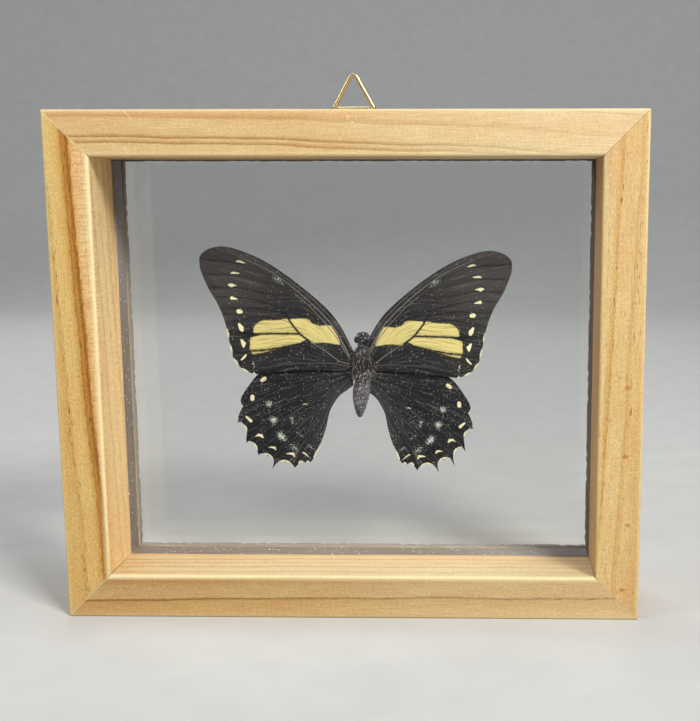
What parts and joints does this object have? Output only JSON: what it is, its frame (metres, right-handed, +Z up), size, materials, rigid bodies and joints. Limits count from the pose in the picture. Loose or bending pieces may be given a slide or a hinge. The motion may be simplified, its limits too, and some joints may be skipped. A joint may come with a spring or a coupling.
{
  "type": "framed butterfly specimen",
  "caption": "Dried dark swallowtail butterfly with yellow wing bands, held between two glass panes in a see-through mitred pine frame with a swinging wire hanging ring.",
  "frame": {"origin": "on the surface the frame stands on, under the middle of the whole object, hanger included", "axes": "+X to the right as seen from the front, +Y from the front to the back, +Z up"},
  "size_m": [0.178, 0.039, 0.1695],
  "materials": {
    "pine": "bare planed pine, satin",
    "glass": "clear 2 mm sheet glass",
    "spacer": "matte grey-brown board",
    "body": "dry hairy insect body",
    "wing": "matte wing scales, black with cream-yellow bands and spots",
    "brass_plate": "bright brass plating"
  },
  "bodies": {
    "frame": {"rail_top": "pine", "rail_bottom": "pine", "rail_left": "pine", "rail_right": "pine", "front_pane": "glass", "back_pane": "glass", "spacer_top": "spacer", "spacer_bottom": "spacer", "spacer_left": "spacer", "spacer_right": "spacer", "butterfly_body": "body", "forewing_left": "wing", "forewing_right": "wing", "hindwing_left": "wing", "hindwing_right": "wing", "hanger_strap": "brass_plate", "hanger_screw": "brass_plate"},
    "ring": {"hanger_ring": "brass_plate"}
  },
  "joints": [
    {"name": "ring_swing", "type": "hinge", "parent": "frame", "child": "ring", "pos_m": [-0.0013, 0.01815, 0.1576], "axis": [1, 0, 0], "range_deg": [-160, 97]}
  ]
}
